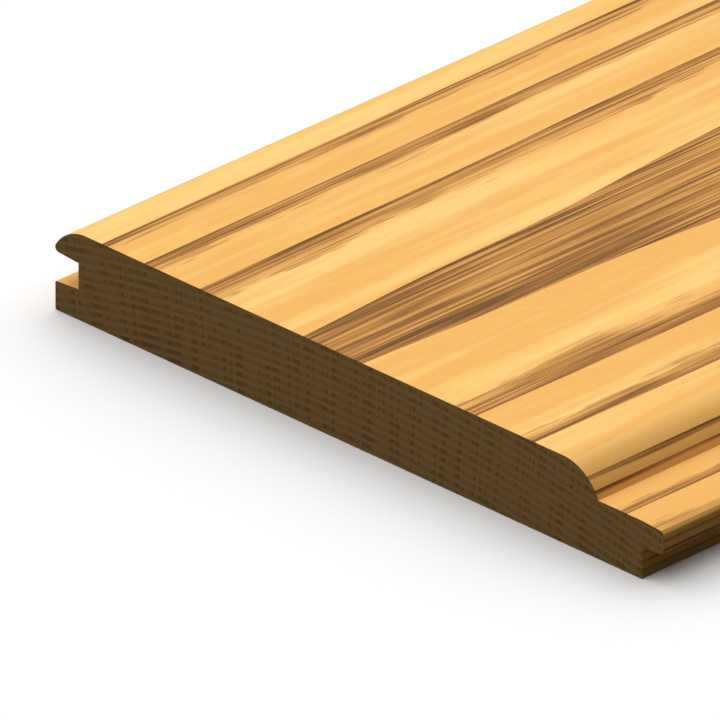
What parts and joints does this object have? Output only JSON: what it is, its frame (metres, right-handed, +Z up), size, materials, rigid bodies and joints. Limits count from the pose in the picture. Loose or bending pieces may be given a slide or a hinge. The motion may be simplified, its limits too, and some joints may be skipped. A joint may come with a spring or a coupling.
{
  "type": "reveal moulding",
  "caption": "Solid wood reveal moulding: a flat panelling board with a rounded, grooved edge on one side and an ovolo, a flat ledge and a tongue on the other.",
  "frame": {"origin": "centre of the back face, midway along and across the board", "axes": "+X across the board from the groove edge to the tongue edge, +Y along the board, +Z up from the back to the face"},
  "size_m": [0.1676, 1.2192, 0.0191],
  "materials": {
    "wood": "planed, unfinished, golden with brown latewood bands"
  },
  "bodies": {
    "root": {"reveal_moulding": "wood"}
  },
  "joints": []
}
